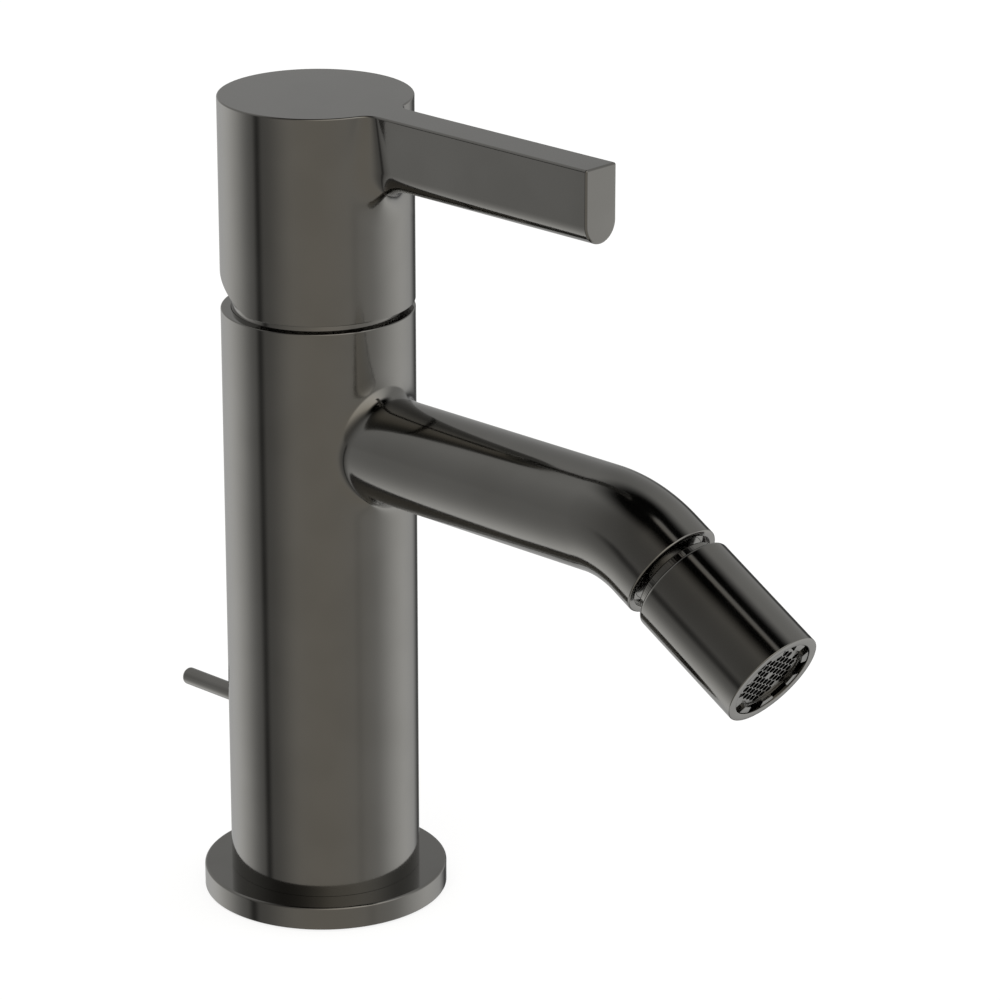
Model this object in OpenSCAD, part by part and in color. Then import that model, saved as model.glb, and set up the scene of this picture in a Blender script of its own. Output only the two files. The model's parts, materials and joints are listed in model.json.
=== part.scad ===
// Single-lever bidet mixer with a ball-jointed nozzle and a lift rod for the waste.
// Frame: origin in the middle of the base's underside, +Z up, spout and lever along -Y.

/* [Base plate] */
// Outer diameter of the base plate
plate_d = 56.7; // [54:0.1:62]
// Thickness of the base plate
plate_t = 5.5; // [5:0.1:7]
// Radius of the plate's top edge
plate_edge = 0.8; // [0.3:0.1:1.5]
// Diameter of the body's spigot in the plate
spigot_d = 40; // [39.6:0.1:41]
// Depth of the gasket groove in the plate's underside
gasket_t = 2; // [1.5:0.1:2.4]
// Share of the plate's width that the gasket takes
gasket_share = 0.49; // [0.35:0.01:0.55]

/* [Body] */
// Outer diameter of the body and of the handle cap above it
body_d = 44; // [43.4:0.1:46]
// Height of the body's top edge above the deck
body_top = 141.6; // [138:0.1:165]
// Wall of the hollow lower body
body_wall = 3.5; // [2.6:0.1:3.8]
// Radius of the edge round at the body's top
body_edge = 0.5; // [0.2:0.1:0.8]
// Distance from the body's axis forward to the mounting stud
stud_reach = 13; // [12.5:0.1:14]
// Core diameter of the tapped M8 hole for the stud
stud_core_d = 6.8; // [6.6:0.1:7]
// Depth of the tapped stud hole
stud_depth = 25; // [15:1:35]
// Sideways distance from the body's axis to each hose port
port_x = 8; // [7.6:0.1:8.6]
// Distance from the body's axis forward to the hose ports
port_y = 4; // [3.4:0.1:4.6]
// Core diameter of the tapped M10x1 hose ports
port_core_d = 9; // [8.6:0.1:9.2]
// Depth of the tapped hose ports
port_depth = 12; // [9:0.5:14]
// Height of the ports' mouths above the deck
port_z = 66; // [62:0.5:74]
// Bore of the two water risers
riser_d = 6; // [5:0.1:6.4]

/* [Spout] */
// Outer diameter of the spout
spout_d = 24; // [23.4:0.1:25]
// Water bore of the spout
spout_bore = 15; // [13:0.1:15.6]
// Distance from the body's top down to the spout's axis
spout_drop = 29.1; // [28.8:0.1:34]
// Distance from the body's axis to the corner of the spout's centre line
spout_reach = 95.5; // [75:0.5:130]
// Angle of the bend
bend_angle = 30.5; // [20:0.5:40]
// Radius of the bend's centre line
bend_r = 30; // [22:0.5:34]
// Straight length between the bend and the spout's end
stub_len = 5.7; // [4:0.1:20]
// Radius of the blend between spout and body
root_fillet = 3.5; // [2:0.1:4.5]
// Straight length of the body's stub past the blend, up to the brazed joint
stub_past = 2.5; // [1:0.1:4]

/* [Nozzle] */
// Outer diameter of the nozzle
nozzle_d = 24.1; // [23.6:0.1:26]
// Length of the nozzle's shell
nozzle_len = 29.9; // [28.6:0.1:40]
// Gap between the spout's end and the nozzle's shell
nozzle_gap = 3.3; // [3.1:0.1:5]
// Diameter of the ball
ball_d = 16.4; // [16:0.1:16.8]
// Depth of the ball's centre below the shell's top
ball_depth = 5; // [4.6:0.1:5.4]
// Height of the collar over the shell's top
collar_rise = 2.2; // [1.6:0.1:2.3]
// Tilt of the nozzle each way
nozzle_tilt = 12; // [6:1:12]
// Diameter of the mouth that holds the aerator
mouth_d = 20.1; // [19.6:0.1:20.4]
// Depth of the aerator's face in the mouth
mouth_recess = 0.2; // [0.1:0.1:1.5]
// Number of notches in the aerator's ring
notch_count = 8; // [6:1:12]
// Diameter of the honeycomb disc
comb_d = 16.4; // [14:0.1:16.6]
// Distance between the middles of neighbouring cells
cell_pitch = 1.8; // [1.2:0.05:2.2]
// Wall between neighbouring cells
cell_wall = 0.3; // [0.15:0.01:0.5]

/* [Handle] */
// Gap between the body's top and the cap
cap_gap = 0.9; // [0.9:0.05:1.6]
// Height of the cap
cap_h = 48.2; // [44:0.1:60]
// Wall of the cap
cap_wall = 3; // [2.4:0.1:3.1]
// Radius of the cap's top edge
cap_edge = 0.4; // [0.3:0.1:1.5]
// Width of the lever blade
blade_w = 9.4; // [8:0.1:12]
// Height of the lever blade
blade_h = 17; // [12:0.1:20]
// Distance from the cap's axis to the blade's end
blade_reach = 86.15; // [60:0.05:110]
// Radius of the blade's top edges
blade_edge = 0.5; // [0.2:0.1:1]
// Radius of the blend between blade and cap
blade_fillet = 4; // [2:0.1:5]
// Lift of the lever from closed to open
lift_angle = 25; // [18:1:25]

/* [Cartridge] */
// Outer diameter of the cartridge
cart_d = 34.8; // [34:0.1:35.2]
// Diameter of the nut's thread
nut_d = 38.8; // [38.2:0.1:39]
// Height of the nut
nut_h = 5.5; // [4.5:0.1:5.6]
// Thickness of the cartridge's foot
foot_t = 3.5; // [3.2:0.1:3.6]
// Thickness of the fixed disc
fixed_t = 2.5; // [2.2:0.1:2.6]
// Thickness of the moving disc
moving_t = 2; // [1.8:0.1:2.1]
// Thickness of the disc carrier
carrier_t = 2.6; // [2.2:0.1:2.7]
// Height of the spindle's pivot over the body's top
pivot_rise = 4.4; // [4.4:0.1:6]
// Distance from the pivot down to the spindle's ball
arm_len = 8.5; // [8:0.1:9]
// Side of the spindle's square shank
shank_w = 7; // [6:0.1:8]

/* [Lift rod] */
// Diameter of the lift rod
rod_d = 4.1; // [3.5:0.1:5]
// Height of the lowered rod above the deck
rod_z = 38.75; // [34:0.25:42]
// Distance from the body's axis to the rod's tip
rod_reach = 46.7; // [36:0.1:70]
// Travel of the rod
rod_travel = 18; // [8:1:20]
// Diameter of the rod's carriage
carriage_d = 8; // [7:0.1:8.4]
// Distance from the body's axis back to the carriage
carriage_y = 13; // [12.8:0.1:13.4]
// Diameter of the socket for the pull rod
pull_d = 5; // [4:0.1:5.4]

/* [Hidden] */
$fn = 96;
fit_gap = 0.1;        // clearance between pieces that are pushed or screwed together
braze_gap = 0.02;     // gap between pieces that are brazed or soldered together
run_gap = 0.06;       // clearance of pins and shafts that turn
slide_gap = 0.35;     // clearance of the rod in its slot
face_gap = 0.2;       // clearance between flat faces that pass each other

body_r = body_d / 2;
cavity_r = body_r - body_wall;
spigot_r = spigot_d / 2;
spigot_z = 1.5;
plate_bore_r = spigot_r + fit_gap;
gasket_r = (plate_bore_r + plate_d / 2) / 2;
gasket_w = gasket_share * (plate_d / 2 - plate_bore_r);
o_ring_z = [2.6, 4.2];
o_ring_w = 1.1;

// Levels of the body, from the deck up
spout_z = body_top - spout_drop;
bore_floor = spout_z - spout_bore / 2;
cavity_top = bore_floor - 4;
nut_top = body_top - 0.2;
shoulder_z = nut_top - nut_h;
lid_t = 1.9;
rotor_flange_t = 1.1;
stack_t = foot_t + fixed_t + moving_t + carrier_t + rotor_flange_t + lid_t + face_gap + fit_gap;
seat_z = shoulder_z - stack_t;
foot_top = seat_z + foot_t;
fixed_top = foot_top + fixed_t;
moving_top = fixed_top + moving_t;
carrier_top = moving_top + carrier_t;
chamber_top = shoulder_z - lid_t;
pivot_z = body_top + pivot_rise;
neck_top = pivot_z + 2.3;

// Body inside
stud_boss_r = stud_core_d / 2 + 2;
stud_boss_z = 8;
port_wall = 1.6;
bush_neck_r = riser_d / 2 + 1.5;
bush_neck_len = 4;
web_w = 6;
slot_r = rod_d / 2 + slide_gap;
cross_w = 6.4;
cross_floor = bore_floor + 1;
bore_start = port_y + riser_d / 2 + 2.4;
peg_r = 1.4;
peg_len = 2;
peg_pos = [[11.4, 6.6], [-11.4, 6.6]];

// Cartridge
cart_r = cart_d / 2;
nut_r = nut_d / 2;
neck_r = 12.6;
rotor_r = 10.5;
housing_r = 14.6;
fixed_r = 14;
moving_r = 10.5;
disc_offset = arm_len * sin(lift_angle) / 2;
inlet_pos = [5.8, -port_y];
inlet_r = 2.4;
outlet_r = 3.2;
pocket_r = 4.4;
pocket_t = 1.2;
seal_t = 1.5;
seal_w = 1.2;
pin_r = 1.25;
pin_len = 2 * rotor_r - 2;
ball_end_r = 2.5;
stem_r = 2;
boss_w = 7;
rotor_slot_w = boss_w + 2 * fit_gap;
rotor_slot_len = 16.8;
shank_foot = 3;
shank_len = 20.5;
shank_top = pivot_z + shank_len;
eye_r = 3.4;

// Carriage of the lift rod
carriage_drop = 14;
carriage_rise = 5;
clamp_z = rod_z - 9;
clamp_r = 1.5;
clamp_head = 1.4;
guide_w = 2.4;
guide_x = carriage_d / 2 + fit_gap + guide_w / 2;
guide_z = [rod_z - carriage_drop - 1, rod_z + carriage_rise + rod_travel + 1];

// Handle
cap_r = body_r;
cap_z = body_top + cap_gap;
cap_top = cap_z + cap_h;
cap_cavity_r = cap_r - cap_wall;
cap_roof = 4;
boss_r = 9;
boss_z = pivot_z + 8.5;
screw_z = pivot_z + 14.2;
screw_r = 2.5;
plug_r = 3;
blade_r = blade_w / 2;
blade_z = cap_top - blade_h;
blade_start = cap_r - cap_wall / 2 - 0.2;
collar_r = nut_r;
collar_ring = 0.9;
collar_dome = 2.6;
blend_drop = 0.03;    // how far the blend's ends lie below the cap's flat top

// Joint of the spout and the body's stub
spout_joint = body_r + root_fillet + stub_past;
tenon_r = spout_bore / 2 + 2;
tenon_len = 7;

// Distances along the spout's end from the corner of its centre line
bend_t = bend_r * tan(bend_angle / 2);
bend_lap = 0.5;       // how far the straight lengths run into the bend
bend_skin = 0.02;     // how much fuller the bend is than the straight lengths
spout_end = bend_t + stub_len;
end_recess = 1.3;
end_recess_r = mouth_d / 2 + 0.3;
nipple_r = 8.9;
nipple_len = 7;
nipple_bore = 7;
nipple_neck_r = 4.8;
shell_top = spout_end + nozzle_gap;
shell_end = shell_top + nozzle_len;
ball_s = shell_top + ball_depth;
ball_r = ball_d / 2;
liner_t = 0.6;
liner_in_r = ball_r + run_gap;
liner_out_r = liner_in_r + liner_t;
seat_r = liner_out_r + run_gap;
liner_h = 4.8;
shell_r = nozzle_d / 2;
ring_r = 9.9;
ring_top = ball_depth + collar_rise;
ring_hole_r = (nipple_neck_r + 0.3 + ring_top * sin(nozzle_tilt)) / cos(nozzle_tilt);
seat_bottom = 7;
seat_bore_r = 5.6;
aerator_len = 12;
washer_t = 1;
aerator_r = mouth_d / 2 - fit_gap;
aerator_end = shell_end - mouth_recess;
aerator_start = aerator_end - aerator_len;
notch_depth = 1.7;
notch_w = 3.9;
lip_t = 0.3;          // thin wall left round the honeycomb in each notch
lip_drop = 0.85;      // how far the lip's edge lies below the teeth
comb_t = 2;
comb_recess = 1.1;
comb_rim = 0.05;
solid_cells = [[0, 0], [3, 2.5], [3, -2.5]]; // left unpierced, as (column, step)
regulator_t = 5;

// Places a shape drawn along +Z on the spout's level stretch, y from the body's axis, pointing out
module on_spout_axis(y) {
    translate([0, -y, spout_z]) rotate([90, 0, 0]) children();
}

// Places a shape drawn along +Z on the spout's last stretch, s from the corner, pointing out
module on_nozzle_axis(s) {
    translate([0, -spout_reach, spout_z])
        rotate([90 + bend_angle, 0, 0])
            translate([0, 0, s]) children();
}

// A ring with plain walls
module ring(r_out, r_in, h) {
    difference() {
        cylinder(r = r_out, h = h);
        translate([0, 0, -1]) cylinder(r = r_in, h = h + 2);
    }
}

// Half profile of a cylinder whose upper edge is rounded, for a revolve
module edged_profile(r, h, e) {
    square([r - e, h]);
    square([r, h - e]);
    translate([r - e, h - e]) circle(r = e);
}

module edged_cylinder(r, h, e) {
    rotate_extrude() intersection() {
        edged_profile(r, h, e);
        square([r, h]);
    }
}

// A slot with round ends between two points
module slot(a, b, r) {
    d = b - a;
    translate(a) circle(r = r);
    translate(b) circle(r = r);
    translate(a) rotate(atan2(d[1], d[0])) translate([0, -r]) square([norm(d), 2 * r]);
}

// Rolling-ball blend between an upright cylinder of radius big and what leaves it along -Y.
// path lists the leaving shape's surface points [x, z] with their outward normals, anticlockwise.
fillet_steps = 8;
fillet_sink = 0.06;
fillet_root = 1;

function blend_centre(p, n, big, f) =
    let (x = p[0] + n[0] * f, z = p[1] + n[1] * f)
    [x, -sqrt(pow(big + f, 2) - x * x), z];

function blend_row(p, n, big, f) =
    let (c = blend_centre(p, n, big, f),
         da = [-n[0], 0, -n[1]],
         db = [-c[0], -c[1], 0] / (big + f),
         w = acos(da * db),
         arc = [for (k = [0:fillet_steps])
             c + f * (sin(w * (1 - k / fillet_steps)) * da + sin(w * k / fillet_steps) * db) / sin(w)])
    concat([arc[0] + da * fillet_root, arc[0] + da * fillet_sink],
        [for (k = [1:fillet_steps - 1]) arc[k]],
        [arc[fillet_steps] + db * fillet_sink, arc[fillet_steps] + db * fillet_root,
         c + (da + db) * (f + fillet_root)]);

module blend(path, big, f, closed) {
    rows = [for (q = path) blend_row(q[0], q[1], big, f)];
    m = len(rows[0]);
    n = len(rows);
    turns = closed ? n : n - 1;
    sides = [for (j = [0:turns - 1]) for (k = [0:m - 1])
        let (a = j * m + k, b = j * m + (k + 1) % m,
             c = ((j + 1) % n) * m + (k + 1) % m, d = ((j + 1) % n) * m + k)
        each [[a, c, b], [a, d, c]]];
    last = (n - 1) * m;
    ends = closed ? [] : [for (k = [0:m - 3])
        each [[m - 1, k, k + 1], [last + m - 1, last + k + 1, last + k]]];
    polyhedron(points = [for (r = rows) each r], faces = concat(sides, ends), convexity = 4);
}

root_sides = 48;
function root_path() = [for (j = [0:root_sides - 1])
    let (a = 360 * j / root_sides, n = [cos(a), sin(a)])
    [[0, spout_z] + n * spout_d / 2, n]];

blade_sides = 16;
function blade_path() = concat(
    [[[-blade_r, cap_top - blend_drop], [-1, 0]]],
    [for (j = [0:blade_sides])
        let (a = 180 * (j / blade_sides - 1), n = [cos(a), sin(a)])
        [[0, blade_z + blade_r] + n * blade_r, n]],
    [[[blade_r, cap_top - blend_drop], [1, 0]]]);

module base_plate() {
    color([0.30, 0.29, 0.27]) difference() {
        edged_cylinder(plate_d / 2, plate_t, plate_edge);
        translate([0, 0, -1]) cylinder(r = plate_bore_r, h = plate_t + 2);
        translate([0, 0, o_ring_z[0]])
            ring(plate_bore_r + o_ring_w, spigot_r - 1, o_ring_z[1] - o_ring_z[0]);
        translate([0, 0, -1]) ring(gasket_r + gasket_w / 2, gasket_r - gasket_w / 2, gasket_t + 1);
    }
}

module base_gasket() {
    color([0.12, 0.12, 0.12]) ring(gasket_r + gasket_w / 2, gasket_r - gasket_w / 2, gasket_t);
}

module body_o_ring() {
    color([0.10, 0.10, 0.10]) translate([0, 0, o_ring_z[0]])
        ring(plate_bore_r + o_ring_w, spigot_r, o_ring_z[1] - o_ring_z[0]);
}

// The spout as a solid rod of radius r: level stretch, bend and end, from y = -start to s = s_end
module spout_rod(r, start, s_end) {
    on_spout_axis(start) cylinder(r = r, h = spout_reach - bend_t - start + bend_lap);
    translate([0, -spout_reach + bend_t, spout_z - bend_r]) rotate([0, -90, 180])
        rotate_extrude(angle = bend_angle) translate([bend_r, 0]) circle(r = r + bend_skin);
    on_nozzle_axis(bend_t - bend_lap) cylinder(r = r, h = s_end - bend_t + bend_lap);
}

module body_outside() {
    translate([0, 0, plate_t]) edged_cylinder(body_r, body_top - plate_t, body_edge);
    translate([0, 0, spigot_z]) cylinder(r = spigot_r, h = plate_t - spigot_z + 1);
    on_spout_axis(body_r / 2) cylinder(d = spout_d, h = spout_joint - body_r / 2);
    blend(root_path(), body_r, root_fillet, true);
}

// The hollow body up to the shoulder that the valve block meets, with the stud's boss left in it
module body_cavity() {
    boss_len = cavity_top - face_gap - stud_boss_z;
    difference() {
        translate([0, 0, -1]) cylinder(r = cavity_r, h = seat_z + braze_gap + 1);
        translate([0, -stud_reach, stud_boss_z]) cylinder(r = stud_boss_r, h = boss_len);
        translate([-web_w / 2, -cavity_r - 1, stud_boss_z])
            cube([web_w, cavity_r + 1 - stud_reach, boss_len]);
    }
}

// One of the two ways up to the cartridge, with the hole for the bush's neck
module riser(x) {
    translate([x, -port_y, cavity_top - 1]) {
        cylinder(d = riser_d, h = seat_z - cavity_top + 2);
        cylinder(r = bush_neck_r + fit_gap, h = bush_neck_len + 1 + face_gap);
    }
}

module rod_slot() {
    rotate([90, 0, 180]) linear_extrude(body_r + 1)
        slot([0, rod_z], [0, rod_z + rod_travel], slot_r);
}

// The way of the mixed water: down from the cartridge, forward between the risers, into the spout
module water_way() {
    translate([0, 0, cross_floor + outlet_r]) cylinder(r = outlet_r, h = seat_z - cross_floor);
    translate([-cross_w / 2, -bore_start - 1, cross_floor])
        cube([cross_w, bore_start + 1, seat_z - 2 - cross_floor]);
    on_spout_axis(bore_start) cylinder(d = spout_bore, h = spout_joint - bore_start + 1);
    on_spout_axis(spout_joint - tenon_len - face_gap) cylinder(r = tenon_r + fit_gap, h = 2 * tenon_len);
}

module mixer_body() {
    color([0.32, 0.31, 0.29]) difference() {
        body_outside();
        body_cavity();
        translate([0, -stud_reach, stud_boss_z - 1]) cylinder(d = stud_core_d, h = stud_depth + 1);
        rod_slot();
        water_way();
        translate([0, 0, seat_z]) cylinder(r = cart_r + fit_gap, h = body_top);
        translate([0, 0, shoulder_z - 1]) cylinder(r = nut_r + fit_gap, h = body_top);
    }
}

// The block that the cartridge stands on, pushed up against the body's shoulder and brazed in
module valve_block() {
    color([0.72, 0.60, 0.36]) difference() {
        translate([0, 0, cavity_top]) cylinder(r = cavity_r - braze_gap, h = seat_z - cavity_top);
        for (x = [-port_x, port_x]) riser(x);
        water_way();
        for (p = peg_pos) port_hole(p, peg_r + fit_gap, seat_z - peg_len - 0.3, peg_len + 1);
    }
}

module spout() {
    color([0.32, 0.31, 0.29]) difference() {
        union() {
            spout_rod(spout_d / 2, spout_joint, spout_end);
            on_spout_axis(spout_joint - tenon_len) cylinder(r = tenon_r, h = tenon_len + 1);
        }
        spout_rod(spout_bore / 2, spout_joint - tenon_len - 1, spout_end + 1);
        on_nozzle_axis(spout_end - end_recess - nipple_len - 1)
            cylinder(r = nipple_r + fit_gap, h = 2 * nipple_len);
        on_nozzle_axis(spout_end - end_recess) cylinder(r = end_recess_r, h = 2 * end_recess);
    }
}

// Bushes with the hose threads, brazed into the ways up to the cartridge
module inlet_bushes() {
    color([0.72, 0.60, 0.36]) for (x = [-port_x, port_x]) translate([x, -port_y, port_z]) difference() {
        union() {
            cylinder(r = port_core_d / 2 + port_wall, h = cavity_top - port_z);
            cylinder(r = bush_neck_r, h = cavity_top - port_z + bush_neck_len);
        }
        translate([0, 0, -1]) cylinder(d = port_core_d, h = port_depth + 1);
        cylinder(d = riser_d, h = cavity_top);
    }
}

// Strips soldered to the rear wall, between which the carriage slides
module carriage_guides() {
    color([0.72, 0.60, 0.36]) for (s = [-1, 1]) intersection() {
        translate([s * guide_x - guide_w / 2, carriage_y - carriage_d / 2 + 1, guide_z[0]])
            cube([guide_w, body_r, guide_z[1] - guide_z[0]]);
        cylinder(r = cavity_r - braze_gap, h = cavity_top);
    }
}

module trim_collar() {
    color([0.28, 0.27, 0.25]) translate([0, 0, nut_top]) difference() {
        union() {
            cylinder(r = collar_r, h = collar_ring);
            cylinder(r1 = collar_r - 1.6 + collar_ring, r2 = neck_r + 1.2, h = collar_dome);
        }
        translate([0, 0, -1]) cylinder(r = neck_r + fit_gap, h = collar_dome + 2);
    }
}

module cartridge_nut() {
    color([0.72, 0.60, 0.36]) translate([0, 0, shoulder_z]) difference() {
        cylinder(r = nut_r, h = nut_h);
        translate([0, 0, -1]) cylinder(r = neck_r + fit_gap, h = nut_h + 2);
        for (a = [0:60:300]) rotate(a)
            translate([neck_r - 1, -1.6, nut_h - 2]) cube([3.4, 3.2, 3]);
    }
}

module cartridge_housing() {
    color([0.85, 0.85, 0.82]) difference() {
        union() {
            translate([0, 0, foot_top]) cylinder(r = cart_r, h = shoulder_z - foot_top);
            translate([0, 0, shoulder_z - 1]) cylinder(r = neck_r, h = neck_top - shoulder_z + 1);
        }
        translate([0, 0, foot_top - 1]) cylinder(r = housing_r, h = chamber_top - foot_top + 1);
        cylinder(r = rotor_r + run_gap, h = neck_top + 1);
    }
}

module port_hole(p, r, z, h) {
    translate([p[0], p[1], z]) cylinder(r = r, h = h);
}

module cartridge_base() {
    half = foot_t / 2;
    color([0.20, 0.20, 0.22]) difference() {
        union() {
            translate([0, 0, seat_z]) cylinder(r = cart_r, h = foot_t);
            for (p = peg_pos) port_hole(p, peg_r, seat_z - peg_len, peg_len + 1);
        }
        for (s = [-1, 1]) {
            port_hole([s * port_x, -port_y], riser_d / 2, seat_z - 1, half + 1);
            port_hole([s * port_x, -port_y], riser_d / 2 + seal_w + 0.2, seat_z - 1, seal_t + 1);
            translate([0, 0, seat_z + half]) linear_extrude(foot_t)
                slot([s * port_x, -port_y], [s * inlet_pos[0], inlet_pos[1]], inlet_r);
        }
        port_hole([0, 0], outlet_r, seat_z - 1, foot_t + 2);
        port_hole([0, 0], outlet_r + seal_w, seat_z - 1, seal_t + 1);
    }
}

module cartridge_port_seals() {
    color([0.08, 0.08, 0.08]) translate([0, 0, seat_z]) {
        for (s = [-1, 1]) translate([s * port_x, -port_y, 0])
            ring(riser_d / 2 + seal_w + 0.1, riser_d / 2 + 0.1, seal_t);
        ring(outlet_r + seal_w - 0.1, outlet_r, seal_t);
    }
}

module fixed_ceramic_disc() {
    color([0.92, 0.91, 0.88]) difference() {
        translate([0, 0, foot_top]) cylinder(r = fixed_r, h = fixed_t);
        for (s = [-1, 1]) port_hole([s * inlet_pos[0], inlet_pos[1]], inlet_r, foot_top - 1, fixed_t + 2);
        port_hole([0, 0], outlet_r, foot_top - 1, fixed_t + 2);
    }
}

module moving_ceramic_disc() {
    color([0.92, 0.91, 0.88]) difference() {
        port_hole([0, disc_offset], moving_r, fixed_top, moving_t);
        port_hole([0, 0], pocket_r, fixed_top - 1, pocket_t + 1);
    }
}

module disc_carrier() {
    ball_z = pivot_z - arm_len;
    boss_top = ball_z + 0.5;
    color([0.75, 0.78, 0.80]) difference() {
        union() {
            port_hole([0, disc_offset], moving_r + 0.5, moving_top, carrier_t);
            translate([-boss_w / 2, -boss_w / 2, moving_top])
                cube([boss_w, boss_w, boss_top - moving_top]);
        }
        port_hole([0, 0], ball_end_r + 2 * run_gap, ball_z - ball_end_r - 0.5, arm_len);
    }
}

module cartridge_rotor() {
    flange_z = carrier_top + face_gap;
    color([0.90, 0.55, 0.20]) difference() {
        union() {
            translate([0, 0, flange_z]) cylinder(r = rotor_r + 2, h = rotor_flange_t);
            translate([0, 0, flange_z]) cylinder(r = rotor_r, h = neck_top - flange_z);
        }
        translate([-rotor_slot_w / 2, -rotor_slot_len / 2, flange_z - 1])
            cube([rotor_slot_w, rotor_slot_len, neck_top]);
        translate([-rotor_r - 1, 0, pivot_z]) rotate([0, 90, 0])
            cylinder(r = pin_r + 0.02, h = 2 * rotor_r + 2);
    }
}

module spindle_pivot_pin() {
    color([0.78, 0.78, 0.80]) translate([-pin_len / 2, 0, pivot_z]) rotate([0, 90, 0])
        cylinder(r = pin_r, h = pin_len);
}

module cartridge_spindle() {
    ball_z = pivot_z - arm_len;
    color([0.74, 0.62, 0.38]) difference() {
        union() {
            translate([0, 0, ball_z]) sphere(r = ball_end_r);
            translate([0, 0, ball_z]) cylinder(r = stem_r, h = arm_len);
            translate([-boss_w / 2, 0, pivot_z]) rotate([0, 90, 0]) cylinder(r = eye_r, h = boss_w);
            translate([0, 0, pivot_z]) cylinder(r = stem_r + 1, h = shank_foot + 1);
            translate([-shank_w / 2, -shank_w / 2, pivot_z + shank_foot])
                cube([shank_w, shank_w, shank_top - pivot_z - shank_foot]);
        }
        translate([-boss_w, 0, pivot_z]) rotate([0, 90, 0]) cylinder(r = pin_r + run_gap, h = 2 * boss_w);
    }
}

// Outline of the blade across its length: flat top with small edge rounds, round bottom
module blade_outline() {
    z_mid = blade_z + blade_r;
    translate([0, z_mid]) circle(r = blade_r);
    translate([-blade_r, z_mid]) square([blade_w, cap_top - z_mid - blade_edge]);
    translate([-blade_r + blade_edge, z_mid]) square([blade_w - 2 * blade_edge, cap_top - z_mid]);
    for (s = [-1, 1])
        translate([s * (blade_r - blade_edge), cap_top - blade_edge]) circle(r = blade_edge);
}

// Everything behind the axis and below the plane that lies level when the lever is fully lifted
module rear_relief() {
    translate([0, 0, cap_z]) rotate([lift_angle, 0, 0])
        translate([-2 * cap_r, 0, -2 * cap_r]) cube([4 * cap_r, 4 * cap_r, 2 * cap_r]);
}

module lever_handle() {
    cavity_h = cap_h - cap_roof;
    color([0.36, 0.35, 0.33]) difference() {
        union() {
            difference() {
                union() {
                    translate([0, 0, cap_z]) edged_cylinder(cap_r, cap_h, cap_edge);
                    blend(blade_path(), cap_r, blade_fillet, false);
                }
                translate([0, 0, cap_z - 1]) cylinder(r = cap_cavity_r, h = cavity_h + 1);
            }
            translate([0, -blade_start, 0]) rotate([90, 0, 0])
                linear_extrude(blade_reach - blade_start) blade_outline();
            translate([0, 0, boss_z]) cylinder(r = boss_r, h = cap_top - cap_roof / 2 - boss_z);
        }
        rear_relief();
        translate([-shank_w / 2 - fit_gap, -shank_w / 2 - fit_gap, boss_z - 1])
            cube([shank_w + 2 * fit_gap, shank_w + 2 * fit_gap, shank_top + 1 - boss_z + 1]);
        translate([0, 0, screw_z]) rotate([-90, 0, 0]) cylinder(r = screw_r, h = boss_r + 1);
        translate([0, boss_r + 1, screw_z]) rotate([-90, 0, 0]) cylinder(r = plug_r, h = cap_r);
    }
}

module handle_grub_screw() {
    y = shank_w / 2;
    color([0.25, 0.25, 0.26]) difference() {
        translate([0, y, screw_z]) rotate([-90, 0, 0]) cylinder(r = screw_r - 0.03, h = boss_r - y - 0.4);
        translate([0, boss_r - 2.6, screw_z]) rotate([-90, 0, 0]) cylinder(r = 1.44, h = 4, $fn = 6);
    }
}

module screw_cover_plug() {
    color([0.34, 0.33, 0.31]) intersection() {
        translate([0, cap_cavity_r - 0.6, screw_z]) rotate([-90, 0, 0])
            cylinder(r = plug_r - 0.03, h = cap_wall + 2);
        translate([0, 0, boss_z]) cylinder(r = cap_r, h = cap_top - boss_z);
    }
}

module swivel_nipple() {
    shank_end = spout_end - end_recess;
    color([0.34, 0.33, 0.31]) difference() {
        union() {
            on_nozzle_axis(shank_end - nipple_len) cylinder(r = nipple_r, h = nipple_len);
            on_nozzle_axis(shank_end - 1) cylinder(r = nipple_neck_r, h = ball_s - shank_end + 1);
            on_nozzle_axis(ball_s) intersection() {
                sphere(r = ball_r);
                translate([0, 0, -ball_d]) cylinder(r = ball_d, h = ball_d + ball_r * 0.68);
            }
        }
        on_nozzle_axis(shank_end - nipple_len - 1) cylinder(d = nipple_bore, h = ball_s + ball_d);
    }
}

module nipple_seal() {
    color([0.10, 0.10, 0.10]) on_nozzle_axis(spout_end - end_recess - nipple_len - 1)
        ring(nipple_r, nipple_bore / 2 + 1, 1);
}

module ball_liner() {
    color([0.94, 0.94, 0.92]) on_nozzle_axis(ball_s) difference() {
        sphere(r = liner_out_r);
        sphere(r = liner_in_r);
        translate([0, 0, liner_h]) cylinder(r = ball_d, h = ball_d);
        translate([0, 0, -liner_h - ball_d]) cylinder(r = ball_d, h = ball_d);
    }
}

module ball_retaining_ring() {
    color([0.34, 0.33, 0.31]) on_nozzle_axis(ball_s) difference() {
        translate([0, 0, -ring_top]) cylinder(r = ring_r, h = ring_top - face_gap);
        sphere(r = seat_r);
        translate([0, 0, -ring_top - 1]) cylinder(r = ring_hole_r, h = ring_top);
    }
}

module ball_seat_ring() {
    color([0.88, 0.88, 0.86]) on_nozzle_axis(ball_s) difference() {
        translate([0, 0, face_gap]) cylinder(r = ring_r, h = seat_bottom - face_gap);
        sphere(r = seat_r);
        cylinder(r = seat_bore_r, h = seat_bottom + 1);
    }
}

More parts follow.
